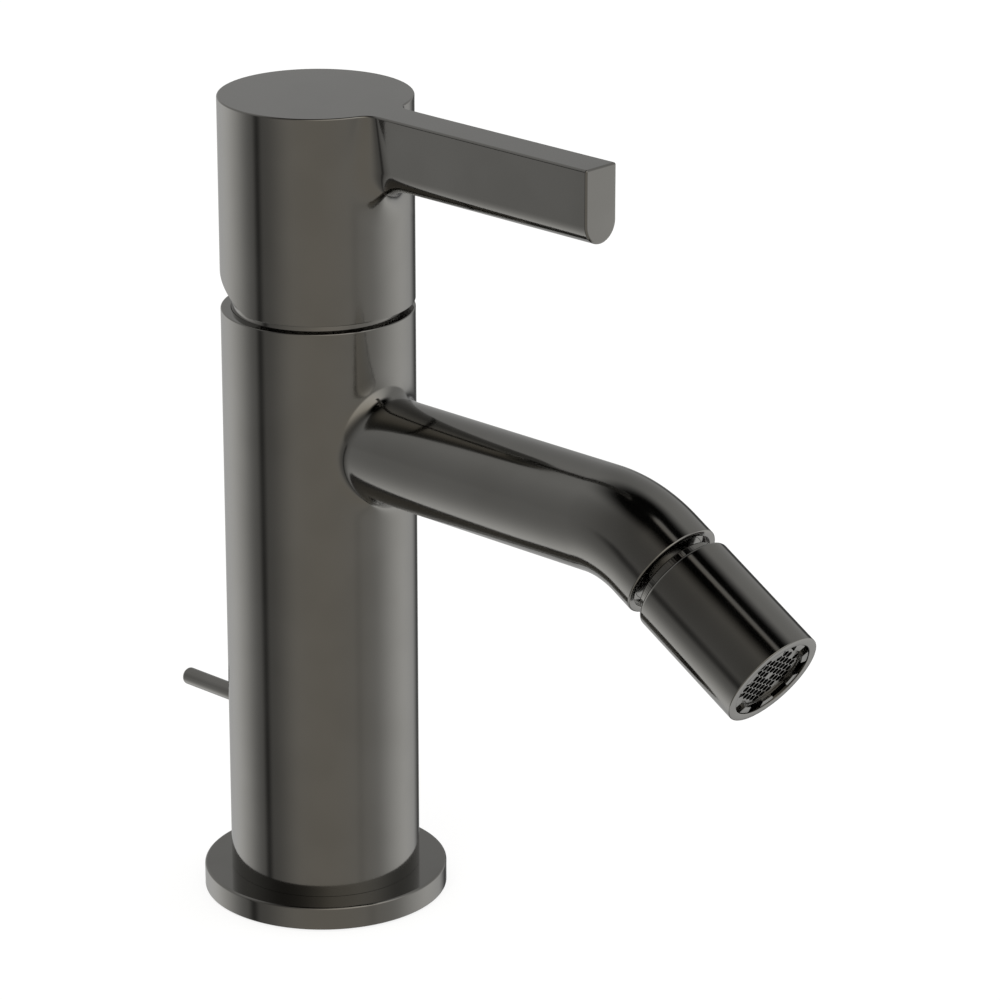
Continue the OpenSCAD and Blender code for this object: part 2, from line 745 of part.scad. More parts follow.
module nozzle_shell() {
    ledge = ball_s + seat_bottom;
    color([0.30, 0.29, 0.27]) difference() {
        on_nozzle_axis(shell_end) mirror([0, 0, 1]) edged_cylinder(shell_r, nozzle_len, 0.8);
        on_nozzle_axis(shell_top - 1) cylinder(r = ring_r + fit_gap, h = ledge - shell_top + 1);
        on_nozzle_axis(shell_top) cylinder(r = seat_bore_r + 1, h = nozzle_len);
        on_nozzle_axis(aerator_start - washer_t) cylinder(d = mouth_d, h = nozzle_len);
    }
}

module aerator_washer() {
    color([0.10, 0.10, 0.10]) on_nozzle_axis(aerator_start - washer_t)
        ring(aerator_r, seat_bore_r + 1, washer_t);
}

module aerator_housing() {
    inner_r = comb_d / 2 + fit_gap;
    color([0.45, 0.45, 0.43]) difference() {
        on_nozzle_axis(aerator_start) cylinder(r = aerator_r, h = aerator_len);
        on_nozzle_axis(aerator_end - comb_recess - comb_t) cylinder(r = inner_r, h = aerator_len);
        on_nozzle_axis(aerator_start - 1) cylinder(r = inner_r - 1, h = aerator_len + 2);
        for (j = [0:notch_count - 1]) on_nozzle_axis(aerator_end) rotate(360 * j / notch_count) {
            translate([inner_r - 1, -notch_w / 2, -lip_drop]) cube([aerator_r, notch_w, lip_drop + 1]);
            translate([inner_r + lip_t, -notch_w / 2, -notch_depth])
                cube([aerator_r, notch_w, notch_depth + 1]);
        }
    }
}

// Middles of the honeycomb's cells that fit wholly inside radius r, without the solid ones
function cell_places(r) = let (n = ceil(r / cell_pitch) + 1)
    [for (j = [-n:n]) for (i = [-n:n])
        let (cell = [j, i + (abs(j) % 2) / 2], p = cell_pitch * [cell[0] * sin(60), cell[1]])
        if (norm(p) < r - cell_pitch / 2 && len([for (c = solid_cells) if (c == cell) c]) == 0) p];

module aerator_honeycomb() {
    color([0.50, 0.50, 0.48]) on_nozzle_axis(aerator_end - comb_recess - comb_t) {
        linear_extrude(comb_t) difference() {
            circle(d = comb_d);
            for (p = cell_places(comb_d / 2 - comb_rim))
                translate(p) circle(r = (cell_pitch - cell_wall) / 2 / cos(30), $fn = 6);
        }
    }
}

module flow_regulator() {
    color([0.20, 0.35, 0.55]) on_nozzle_axis(aerator_start) difference() {
        cylinder(r = comb_d / 2 - 0.95, h = regulator_t);
        for (a = [0:30:330]) rotate(a) translate([4.6, 0, -1]) cylinder(r = 0.8, h = regulator_t + 2);
        for (a = [0:60:300]) rotate(a) translate([2.2, 0, -1]) cylinder(r = 0.7, h = regulator_t + 2);
    }
}

module lift_rod() {
    edge = 0.5;
    start = carriage_y;
    color([0.36, 0.35, 0.33]) translate([0, start, rod_z]) rotate([-90, 0, 0])
        edged_cylinder(rod_d / 2, rod_reach - start, edge);
}

module rod_carriage() {
    socket_len = carriage_drop - rod_d / 2 - 1;
    color([0.72, 0.60, 0.36]) difference() {
        translate([0, carriage_y, rod_z - carriage_drop])
            cylinder(d = carriage_d, h = carriage_drop + carriage_rise);
        translate([0, carriage_y, rod_z]) rotate([-90, 0, 0])
            cylinder(r = rod_d / 2 + 0.02, h = carriage_d);
        translate([0, carriage_y, rod_z - carriage_drop - 1]) cylinder(d = pull_d, h = socket_len + 1);
        translate([0, 0, clamp_z]) rotate([-90, 0, 0]) cylinder(r = clamp_r, h = carriage_y);
    }
}

module carriage_clamp_screw() {
    wall = (carriage_d - pull_d) / 2;
    color([0.25, 0.25, 0.26]) translate([0, carriage_y - carriage_d / 2 - clamp_head, clamp_z])
        rotate([-90, 0, 0]) difference() {
            cylinder(r = clamp_r - 0.03, h = clamp_head + wall - fit_gap);
            translate([-2 * clamp_r, -0.3, -1]) cube([4 * clamp_r, 0.6, 1.7]);
        }
}

base_plate();
base_gasket();
body_o_ring();
mixer_body();
valve_block();
spout();
inlet_bushes();
carriage_guides();
trim_collar();
cartridge_nut();
cartridge_housing();
cartridge_base();
cartridge_port_seals();
fixed_ceramic_disc();
moving_ceramic_disc();
disc_carrier();
cartridge_rotor();
spindle_pivot_pin();
cartridge_spindle();
lever_handle();
handle_grub_screw();
screw_cover_plug();
swivel_nipple();
nipple_seal();
ball_liner();
ball_retaining_ring();
ball_seat_ring();
nozzle_shell();
aerator_washer();
aerator_housing();
aerator_honeycomb();
flow_regulator();
lift_rod();
rod_carriage();
carriage_clamp_screw();
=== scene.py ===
import json
import math
import bpy
import bmesh
import numpy as np
from mathutils import Matrix, Vector


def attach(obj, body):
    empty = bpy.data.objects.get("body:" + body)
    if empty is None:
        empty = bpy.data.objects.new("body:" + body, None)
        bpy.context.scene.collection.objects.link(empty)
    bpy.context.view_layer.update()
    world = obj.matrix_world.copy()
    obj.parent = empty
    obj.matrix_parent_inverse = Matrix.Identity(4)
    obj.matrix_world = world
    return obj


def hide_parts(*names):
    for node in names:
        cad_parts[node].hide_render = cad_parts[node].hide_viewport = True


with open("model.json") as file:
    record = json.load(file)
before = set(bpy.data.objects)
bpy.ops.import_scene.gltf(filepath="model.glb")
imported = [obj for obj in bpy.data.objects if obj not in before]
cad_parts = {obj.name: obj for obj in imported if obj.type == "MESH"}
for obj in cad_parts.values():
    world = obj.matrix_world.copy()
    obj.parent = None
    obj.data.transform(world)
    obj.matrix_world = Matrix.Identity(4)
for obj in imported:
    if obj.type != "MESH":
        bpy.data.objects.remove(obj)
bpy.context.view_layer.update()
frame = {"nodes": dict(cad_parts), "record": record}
scene = bpy.context.scene
scene.view_settings.view_transform = "Standard"
mm = 0.001
print("frame loaded:", len(frame["nodes"]), "CAD nodes")

# camera at the photograph's angle
camera = {
    "azimuth": -46.25,
    "place": (-0.6971, -0.7240, 0.4572),
    "elevation": 19.84,
    "lens": 168.1,
    "sensor": 36.0,
    "clip": (0.01, 50),
}


def makeCamera():
    data = bpy.data.cameras.new("camera")
    data.lens, data.sensor_width = camera["lens"], camera["sensor"]
    data.clip_start, data.clip_end = camera["clip"]
    made = bpy.data.objects.new("camera", data)
    made.location = camera["place"]
    made.rotation_euler = (math.radians(90 - camera["elevation"]), 0, math.radians(camera["azimuth"]))
    scene.collection.objects.link(made)
    scene.camera = made


makeCamera()
print("camera set")


class Wire:  # a node's socket that Python's operators work on
    def __init__(self, tree, socket=None):
        self.tree, self.socket = tree, socket

    def node(self, kind, settings=None, inputs=None, output=0):
        made = self.tree.nodes.new(kind)
        for key, value in (settings or {}).items():
            setattr(made, key, value)
        for key, value in (inputs or {}).items():
            if isinstance(value, Wire):
                self.tree.links.new(value.socket, made.inputs[key])
            else:
                made.inputs[key].default_value = value
        return Wire(self.tree, made.outputs[output] if len(made.outputs) else None)

    def out(self, name):
        return Wire(self.tree, self.socket.node.outputs[name])

    def maths(self, operation, *values):
        return self.node("ShaderNodeMath", {"operation": operation}, dict(enumerate(values)))

    def __add__(self, other):
        return self.maths("ADD", self, other)

    def __radd__(self, other):
        return self.maths("ADD", other, self)

    def __sub__(self, other):
        return self.maths("SUBTRACT", self, other)

    def __rsub__(self, other):
        return self.maths("SUBTRACT", other, self)

    def __mul__(self, other):
        return self.maths("MULTIPLY", self, other)

    def smooth(self, low, high, first=0.0, last=1.0):  # a soft step from first to last
        ends = {"Value": self, "From Min": low, "From Max": high, "To Min": first, "To Max": last}
        return self.node("ShaderNodeMapRange", {"interpolation_type": "SMOOTHSTEP"}, ends)

    def mix(self, other, share):  # this value where share is 0, the other where it is 1
        return self.node("ShaderNodeMix", {"data_type": "FLOAT"}, {0: share, 2: self, 3: other})

    def tint(self, first, last):  # a colour between two, by this value
        both = {"Factor": self, 6: (*first, 1), 7: (*last, 1)}
        return self.node("ShaderNodeMix", {"data_type": "RGBA"}, both, 2)


# the studio that the metal mirrors: a pale room with bright screens, dark flags and a hatch in its
# roof; low and high are its levels under and over the horizon
# each patch is (azimuth, half width, strength), in degrees, 0 towards the user and 90 towards +X;
# the hatch is (azimuth, elevation), and it fades between the two half widths
studio = {
    "low": 0.56,
    "screens": [(-168, 44, 0.73), (66, 46, 0.73), (34, 30, 0.10)],
    "flags": [(116, 23, 0.86), (-117, 8, 0.70), (-110, 40, 0.50), (0, 8, 0.10)],
    "high": 0.60,
    "highScreens": [(0, 60, 0.90), (-42, 36, 0.25)],
    "highFlags": [(-98, 60, 0.65), (128, 35, 0.25)],
    "horizon": (8, 0),
    "roofEdge": (50, 72),
    "hatch": (5, 81),
    "hatchHalf": (2, 6),
    "hatchLevel": 0.5,
    "warmSide": (-45, 95),
    "warm": (1.0, 0.94, 0.84),
    "cool": (1.0, 1.0, 0.99),
    "plain": 0.9,
}


def makeStudio():
    world = bpy.data.worlds.new("studio")
    scene.world = world
    world.use_nodes = True
    tree = world.node_tree
    tree.nodes.clear()
    start = Wire(tree)
    ray = start.node("ShaderNodeLightPath")
    direction = start.node("ShaderNodeTexCoord", output="Generated")
    parts = start.node("ShaderNodeSeparateXYZ", None, {0: direction})
    around = start.maths("ARCTAN2", parts, parts.out("Y") * -1.0)
    height = start.maths("ARCSINE", parts.out("Z"))

    def patch(centre, half, strength):
        turn = start.maths("WRAP", around - math.radians(centre), math.pi, -math.pi)
        return start.maths("ABSOLUTE", turn).smooth(0.0, math.radians(half), strength, 0.0)

    def belt(level, screens, flags):
        for screen in screens:
            level = level + patch(*screen)
        for flag in flags:
            level = level * (1.0 - patch(*flag))
        return level

    def over(edge):
        return height.smooth(*(math.radians(e) for e in edge))

    def spot(turn, rise, half):  # a round patch of the roof
        a, e = math.radians(turn), math.radians(rise)
        middle = (math.sin(a) * math.cos(e), -math.cos(a) * math.cos(e), math.sin(e))
        near = start.node("ShaderNodeVectorMath", {"operation": "DOT_PRODUCT"},
                          {0: direction, 1: middle}, "Value")
        return near.smooth(*(math.cos(math.radians(h)) for h in reversed(half)))

    low = belt(studio["low"], studio["screens"], studio["flags"])
    high = belt(studio["high"], studio["highScreens"], studio["highFlags"])
    room = high.mix(low, over(studio["horizon"]))
    hatch = spot(*studio["hatch"], studio["hatchHalf"]) * studio["hatchLevel"]
    room = room.mix(hatch, over(studio["roofEdge"]))
    colour = patch(*studio["warmSide"], 1.0).tint(studio["cool"], studio["warm"])
    seen = start.maths("MAXIMUM", ray.out("Is Camera Ray"), ray.out("Is Transmission Ray"))
    level = start.node("ShaderNodeMix", {"data_type": "FLOAT"},
                       {0: ray.out("Is Glossy Ray"), 2: studio["plain"], 3: room})
    mirrored = start.node("ShaderNodeBackground", None, {"Color": colour, "Strength": level})
    white = start.node("ShaderNodeBackground", None, {"Color": (1, 1, 1, 1), "Strength": 1.0})
    whole = start.node("ShaderNodeMixShader", None, {0: seen, 1: mirrored, 2: white})
    start.node("ShaderNodeOutputWorld", None, {"Surface": whole})


makeStudio()

# the floor: pale, white to the camera, with the object's soft shadow
floor = {"half": 3.0, "drop": 0.0003, "shadow": 0.25, "glow": 1.08, "colour": (0.92, 0.92, 0.92, 1)}


def makeFloor():
    half, z = floor["half"], -floor["drop"]
    mesh = bpy.data.meshes.new("floor")
    mesh.from_pydata([(-half, -half, z), (half, -half, z), (half, half, z), (-half, half, z)],
                     [], [(0, 1, 2, 3)])
    made = bpy.data.objects.new("floor", mesh)
    scene.collection.objects.link(made)
    material = bpy.data.materials.new("pale floor")
    material.use_nodes = True
    tree = material.node_tree
    tree.nodes.clear()
    start = Wire(tree)
    ray = start.node("ShaderNodeLightPath")
    matt = start.node("ShaderNodeBsdfDiffuse", None, {"Color": floor["colour"]})
    glow = start.node("ShaderNodeEmission", None, {"Color": (1, 1, 1, 1), "Strength": floor["glow"]})
    clear = start.node("ShaderNodeBsdfTransparent")
    shown = start.node("ShaderNodeMixShader", None, {0: floor["shadow"], 1: glow, 2: matt})
    lit = start.node("ShaderNodeMixShader", None, {0: ray.out("Is Camera Ray"), 1: matt, 2: shown})
    whole = start.node("ShaderNodeMixShader", None, {0: ray.out("Is Glossy Ray"), 1: lit, 2: clear})
    start.node("ShaderNodeOutputMaterial", None, {"Surface": whole})
    mesh.materials.append(material)


makeFloor()

lampAim = (0, -0.04, 0.09)
lamps = [
    {"name": "keyLamp", "place": (-0.9, -0.5, 1.3), "size": 0.9, "watts": 5.0},
    {"name": "fillLamp", "place": (0.9, -0.7, 0.9), "size": 1.1, "watts": 2.5},
]


def makeLamps():
    for lamp in lamps:
        data = bpy.data.lights.new(lamp["name"], "AREA")
        data.size, data.energy = lamp["size"], lamp["watts"]
        made = bpy.data.objects.new(lamp["name"], data)
        made.location = lamp["place"]
        aim = Vector(lampAim) - Vector(lamp["place"])
        made.rotation_euler = aim.to_track_quat("-Z", "Y").to_euler()
        made.visible_glossy = False  # the studio's screens are what the metal mirrors
        scene.collection.objects.link(made)


makeLamps()
print("studio, floor and lamps set")


# finishes: colour and roughness wander between two values, and a finer grain gives the bump
wander = {"colour": (0.35, 0.65), "roughness": (0.3, 0.7), "fineDetail": 3.0, "bump": 0.5}


def noiseAt(start, scale, detail=2.0, stretch=(1, 1, 1)):
    place = start.node("ShaderNodeTexCoord", output="Object")
    turned = start.node("ShaderNodeMapping", None, {"Vector": place, "Scale": stretch})
    return start.node("ShaderNodeTexNoise", None, {"Vector": turned, "Scale": scale, "Detail": detail})


def finish(name, darker, lighter, metallic, roughness, spread, scale, grain, depth,
           stretch=(1, 1, 1)):
    material = bpy.data.materials.new(name)
    material.use_nodes = True
    tree = material.node_tree
    tree.nodes.clear()
    start = Wire(tree)
    cloud = noiseAt(start, scale)
    fine = noiseAt(start, grain, wander["fineDetail"], stretch)
    bump = start.node("ShaderNodeBump", None,
                      {"Height": fine, "Distance": depth, "Strength": wander["bump"]})
    shader = start.node("ShaderNodeBsdfPrincipled", None, {
        "Base Color": cloud.smooth(*wander["colour"]).tint(darker, lighter), "Metallic": metallic,
        "Roughness": cloud.smooth(*wander["roughness"], roughness, roughness + spread),
        "Normal": bump})
    start.node("ShaderNodeOutputMaterial", None, {"Surface": shader})
    return material


finishes = {
    "darkMetal": finish("dark metal", (0.168, 0.164, 0.154), (0.178, 0.174, 0.164), 1.0,
                        0.09, 0.03, 60, 900, 0.000002),
    "brass": finish("machined brass", (0.50, 0.36, 0.14), (0.62, 0.47, 0.20), 1.0,
                    0.22, 0.10, 300, 2600, 0.00001, (1, 1, 0.06)),
    "steel": finish("turned steel", (0.48, 0.48, 0.49), (0.60, 0.60, 0.61), 1.0,
                    0.25, 0.10, 400, 3000, 0.00001, (0.1, 1, 1)),
    "blackSteel": finish("black oxide steel", (0.012, 0.012, 0.013), (0.03, 0.03, 0.031), 0.6,
                         0.42, 0.12, 500, 4000, 0.00001),
    "rubber": finish("matt rubber", (0.012, 0.012, 0.012), (0.022, 0.022, 0.022), 0.0,
                     0.62, 0.18, 300, 3500, 0.00002),
    "greyHousing": finish("light grey moulded plastic", (0.56, 0.56, 0.53), (0.62, 0.62, 0.59), 0.0,
                          0.42, 0.12, 200, 3000, 0.00001),
    "darkFoot": finish("dark moulded plastic", (0.03, 0.03, 0.034), (0.045, 0.045, 0.05), 0.0,
                       0.38, 0.14, 250, 3000, 0.00001),
    "orangeRotor": finish("orange moulded plastic", (0.55, 0.15, 0.02), (0.64, 0.19, 0.03), 0.0,
                          0.26, 0.12, 250, 2500, 0.00001),
    "ceramic": finish("lapped alumina", (0.74, 0.72, 0.67), (0.80, 0.79, 0.74), 0.0,
                      0.16, 0.10, 500, 5000, 0.000004),
    "whiteLiner": finish("white low friction plastic", (0.74, 0.74, 0.71), (0.80, 0.80, 0.78), 0.0,
                         0.28, 0.12, 300, 3000, 0.00001),
    "aeratorPlastic": finish("coated grey plastic", (0.175, 0.172, 0.163), (0.195, 0.192, 0.183), 1.0,
                             0.20, 0.08, 500, 3000, 0.000006),
    "blueRegulator": finish("blue moulded plastic", (0.03, 0.10, 0.25), (0.045, 0.13, 0.31), 0.0,
                            0.35, 0.12, 300, 2500, 0.00001),
}
slotFinish = {
    "dark_metal": "darkMetal", "brass": "brass", "steel": "steel", "black_steel": "blackSteel",
    "rubber": "rubber", "housing_plastic": "greyHousing", "foot_plastic": "darkFoot",
    "rotor_plastic": "orangeRotor", "ceramic": "ceramic", "liner_plastic": "whiteLiner",
    "aerator_plastic": "aeratorPlastic", "regulator_plastic": "blueRegulator",
}


def dressCadNodes():
    for part in frame["record"]["subparts"]:
        node = frame["nodes"][part["node"]]
        node.data.materials.clear()
        node.data.materials.append(finishes[slotFinish[part["material_slot"]]])


dressCadNodes()
print("finishes made and CAD nodes dressed")


class Skin:  # one piece's points and faces, in millimetres
    def __init__(self):
        self.points, self.faces = [], []

    def row(self, points):
        first = len(self.points)
        self.points += [tuple(float(x) for x in p) for p in points]
        return list(range(first, len(self.points)))

    def strip(self, low, high, closed=True):
        count = len(low)
        for j in range(count if closed else count - 1):
            k = (j + 1) % count
            self.faces.append((low[j], low[k], high[k], high[j]))

    def rows(self, rows, closed=True):
        for low, high in zip(rows, rows[1:]):
            self.strip(low, high, closed)

    def pole(self, row, point):  # closes a round row with triangles to its middle
        middle = self.row([point])[0]
        for j in range(len(row)):
            self.faces.append((row[j], row[(j + 1) % len(row)], middle))


tiny = 1e-6  # what counts as nothing, in millimetres
weld = 1e-7  # points closer than this are one, in metres


def makeMesh(name, skin):
    mesh = bpy.data.meshes.new(name)
    mesh.from_pydata((np.array(skin.points) * mm).tolist(), [], skin.faces)
    shape = bmesh.new()
    shape.from_mesh(mesh)
    bmesh.ops.remove_doubles(shape, verts=shape.verts, dist=weld)
    bmesh.ops.recalc_face_normals(shape, faces=shape.faces)
    loose = sum(1 for e in shape.edges if len(e.link_faces) != 2)
    if loose:
        print(name, "has", loose, "edges that don't join two faces")
    shape.to_mesh(mesh)
    shape.free()
    made = bpy.data.objects.new(name, mesh)
    scene.collection.objects.link(made)
    return made


def cut(piece, tool, operation="DIFFERENCE"):
    step = piece.modifiers.new("cut", "BOOLEAN")
    step.operation, step.solver, step.object = operation, "MANIFOLD", tool
    settle(piece)
    bpy.data.objects.remove(tool)


def settle(piece):  # the evaluated mesh becomes the piece's own, and its modifiers go
    done = bpy.data.meshes.new_from_object(piece.evaluated_get(bpy.context.evaluated_depsgraph_get()))
    piece.modifiers.clear()
    piece.data = done


sharpAngle = 32  # degrees; edges sharper than this stay creases


def dress(piece, finishName, slotName, body, *nodes):
    mesh = piece.data
    mesh.materials.clear()
    mesh.materials.append(finishes[finishName])
    mesh.polygons.foreach_set("use_smooth", [True] * len(mesh.polygons))
    mesh.set_sharp_from_angle(angle=math.radians(sharpAngle))
    even = piece.modifiers.new("even normals", "WEIGHTED_NORMAL")
    even.mode, even.weight, even.keep_sharp = "FACE_AREA", 50, True
    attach(piece, body)
    if nodes:
        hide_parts(*nodes)
    return piece


def rounded(corners, steps=6):  # a line of (x, y, radius) corners with each corner rounded off
    made = []
    count = len(corners)
    for j, (x, y, radius) in enumerate(corners):
        p = np.array([x, y])
        if radius <= 0:
            made.append((x, y))
            continue
        a = np.array(corners[j - 1][:2]) - p
        b = np.array(corners[(j + 1) % count][:2]) - p
        a, b = a / np.linalg.norm(a), b / np.linalg.norm(b)
        half = math.acos(np.clip(a @ b, -1, 1)) / 2
        middle = p + (a + b) / np.linalg.norm(a + b) * radius / math.sin(half)
        first = (p + a * radius / math.tan(half) - middle) / radius
        last = (p + b * radius / math.tan(half) - middle) / radius
        whole = math.acos(np.clip(first @ last, -1, 1))
        for k in range(steps + 1):
            t = k / steps
            turn = (math.sin(whole * (1 - t)) * first + math.sin(whole * t) * last) / math.sin(whole)
            made.append(tuple(middle + radius * turn))
    return made


fineRound, usualRound, combRound, smallRound = 240, 192, 144, 96  # steps round a circle


def upright(x, y, z):
    return np.stack([x, y, z], -1)


def lathe(name, profile, place=upright, steps=usualRound, closed=True, radial=None):
    # turns a profile of (radius, height) round an axis; open profiles run from axis to axis
    skin = Skin()
    angle = np.linspace(0, 2 * math.pi, steps, endpoint=False)
    rows = []
    for r, h in profile:
        if r < tiny:
            rows.append(place(np.zeros(1), np.zeros(1), np.full(1, h)))
            continue
        wave = r + (radial(angle, r, h) if radial else 0 * angle)
        rows.append(place(wave * np.cos(angle), wave * np.sin(angle), np.full(steps, h)))
    numbers = [skin.row(r) for r in rows]
    pairs = list(zip(numbers, numbers[1:])) + ([(numbers[-1], numbers[0])] if closed else [])
    for low, high in pairs:
        if len(low) == 1:
            skin.faces += [(low[0], high[(j + 1) % steps], high[j]) for j in range(steps)]
        elif len(high) == 1:
            skin.faces += [(low[j], low[(j + 1) % steps], high[0]) for j in range(steps)]
        else:
            skin.strip(low, high)
    return makeMesh(name, skin)


# body and spout in one smooth skin
tapBody = {
    "radius": 22.0, "top": 141.6, "topEdge": 0.3, "foot": 5.5, "footEdge": 0.06,
    "spigotRadius": 20.0, "spigotFoot": 1.5, "cavityRadius": 18.5, "cavityTop": 101.0,
    "nutRadius": 19.7, "nutEdge": 0.03, "shoulder": 134.9, "seatRadius": 17.5, "seat": 122.0,
    "studY": -13.0, "studRadius": 3.4, "studDepth": 25.0, "bossRadius": 5.4, "bossFoot": 8.0,
    "webWidth": 6.0, "slotRadius": 2.4, "slotLow": 38.75, "slotHigh": 56.75,
    "slotDepth": 6.0, "wallStart": 12.0,
}
spout = {
    "radius": 12.0, "axis": 112.5, "reach": 95.5, "bend": 30.5, "bendRadius": 30.0, "stub": 5.7,
    "levelStart": 30.0, "fillet": 6.5, "pull": 0.82, "endRing": 3.0, "endEdge": 0.4,
    "recessRadius": 10.35, "recess": 1.3, "recessEdge": 0.2, "recessFoot": 0.1,
    "socketRadius": 9.0, "socket": 8.4,
}
bendTan = spout["bendRadius"] * math.tan(math.radians(spout["bend"] / 2))
spoutEnd = bendTan + spout["stub"]


def onNozzleAxis(x, y, s):  # s runs from the corner of the spout's centre line, pointing out
    t = math.radians(90 + spout["bend"])
    return np.stack([x, -spout["reach"] + y * math.cos(t) - s * math.sin(t),
                     spout["axis"] + y * math.sin(t) + s * math.cos(t)], -1)


def squareEdge(angle, half):  # where a ray at this angle leaves a square
    c, s = math.cos(angle), math.sin(angle)
    return half * np.array([c, s]) / max(abs(c), abs(s))


def wallGrid(skin, radius, columns, levels, inside):
    # the upright wall as a grid; inside(u, z) says which cells another surface fills
    ids = {}

    def at(u, z):
        key = (round(u, 4), round(z, 4))
        if key not in ids:
            ids[key] = skin.row([(radius * math.sin(u / radius), -radius * math.cos(u / radius), z)])[0]
        return ids[key]

    loop = columns + [columns[0] + 2 * math.pi * radius]
    for z0, z1 in zip(levels, levels[1:]):
        for j in range(len(columns)):
            u0, u1 = loop[j], loop[j + 1]
            if inside((u0 + u1) / 2, (z0 + z1) / 2):
                continue
            w1 = columns[0] if j == len(columns) - 1 else u1
            skin.faces.append((at(u0, z0), at(w1, z0), at(w1, z1), at(u0, z1)))
    return at


def rollingBlend(p, n, big, f, steps, pull):
    # from the wall to the leaving shape's surface point p with normal n, both as (x, z);
    # a curve of the fifth degree, which leaves both surfaces without a jump in curvature;
    # pull says how far it leans into its corner
    x, z = p[0] + n[0] * f, p[1] + n[1] * f
    c = np.array([x, -math.sqrt((big + f) ** 2 - x * x), z])
    a = np.array([-c[0], -c[1], 0]) / (big + f)
    b = np.array([-n[0], 0, -n[1]])
    w = math.acos(np.clip(a @ b, -1, 1))
    corner = c + (a + b) / np.linalg.norm(a + b) * f / math.cos(w / 2)
    ends = c + f * a, c + f * b
    pulls = [e + (corner - e) * k for e, k in ((ends[0], 0), (ends[0], pull / 2), (ends[0], pull),
                                               (ends[1], pull), (ends[1], pull / 2), (ends[1], 0))]
    return [sum(math.comb(5, j) * t ** j * (1 - t) ** (5 - j) * q for j, q in enumerate(pulls))
            for t in np.linspace(0, 1, steps + 1)]


columnStep = 1.0  # about how far apart the wall's columns lie, in millimetres


def fillRound(half, radius):  # even columns for the part of the wall beside the block
    count = round((2 * math.pi * radius - 2 * half) / columnStep)
    step = (2 * math.pi * radius - 2 * half) / count
    return [half + step * k for k in range(1, count)]


def blockLines(edges, half):  # the columns and levels that a block's edge points lie on
    across = sorted({round(float(e[0]), 4) for e in edges if abs(e[1] + half) < tiny})
    upward = sorted({round(float(e[1]), 4) for e in edges if abs(e[0] - half) < tiny})
    return across, upward


def blendRows(skin, at, radius, middle, edges, blends, rings):
    # from the square block in the wall to the blends' edge, then the blends themselves
    rows = [[at(float(e[0]), middle + float(e[1])) for e in edges]]
    for k in range(1, rings):
        t = k / rings
        row = []
        for e, blend in zip(edges, blends):
            u = radius * math.atan2(blend[0][0], -blend[0][1])
            w = (1 - t) * e[0] + t * u
            row.append((radius * math.sin(w / radius), -radius * math.cos(w / radius),
                        (1 - t) * (middle + e[1]) + t * blend[0][2]))
        rows.append(skin.row(row))
    return rows + [skin.row([blend[k] for blend in blends]) for k in range(len(blends[0]))]


def ringRow(skin, turn, r, height):  # a round row; its height is a number, or follows from y
    x, y = r * np.sin(turn), -r * np.cos(turn)
    return skin.row(np.stack([x, y, height(y) if callable(height) else np.full(len(turn), height)], -1))


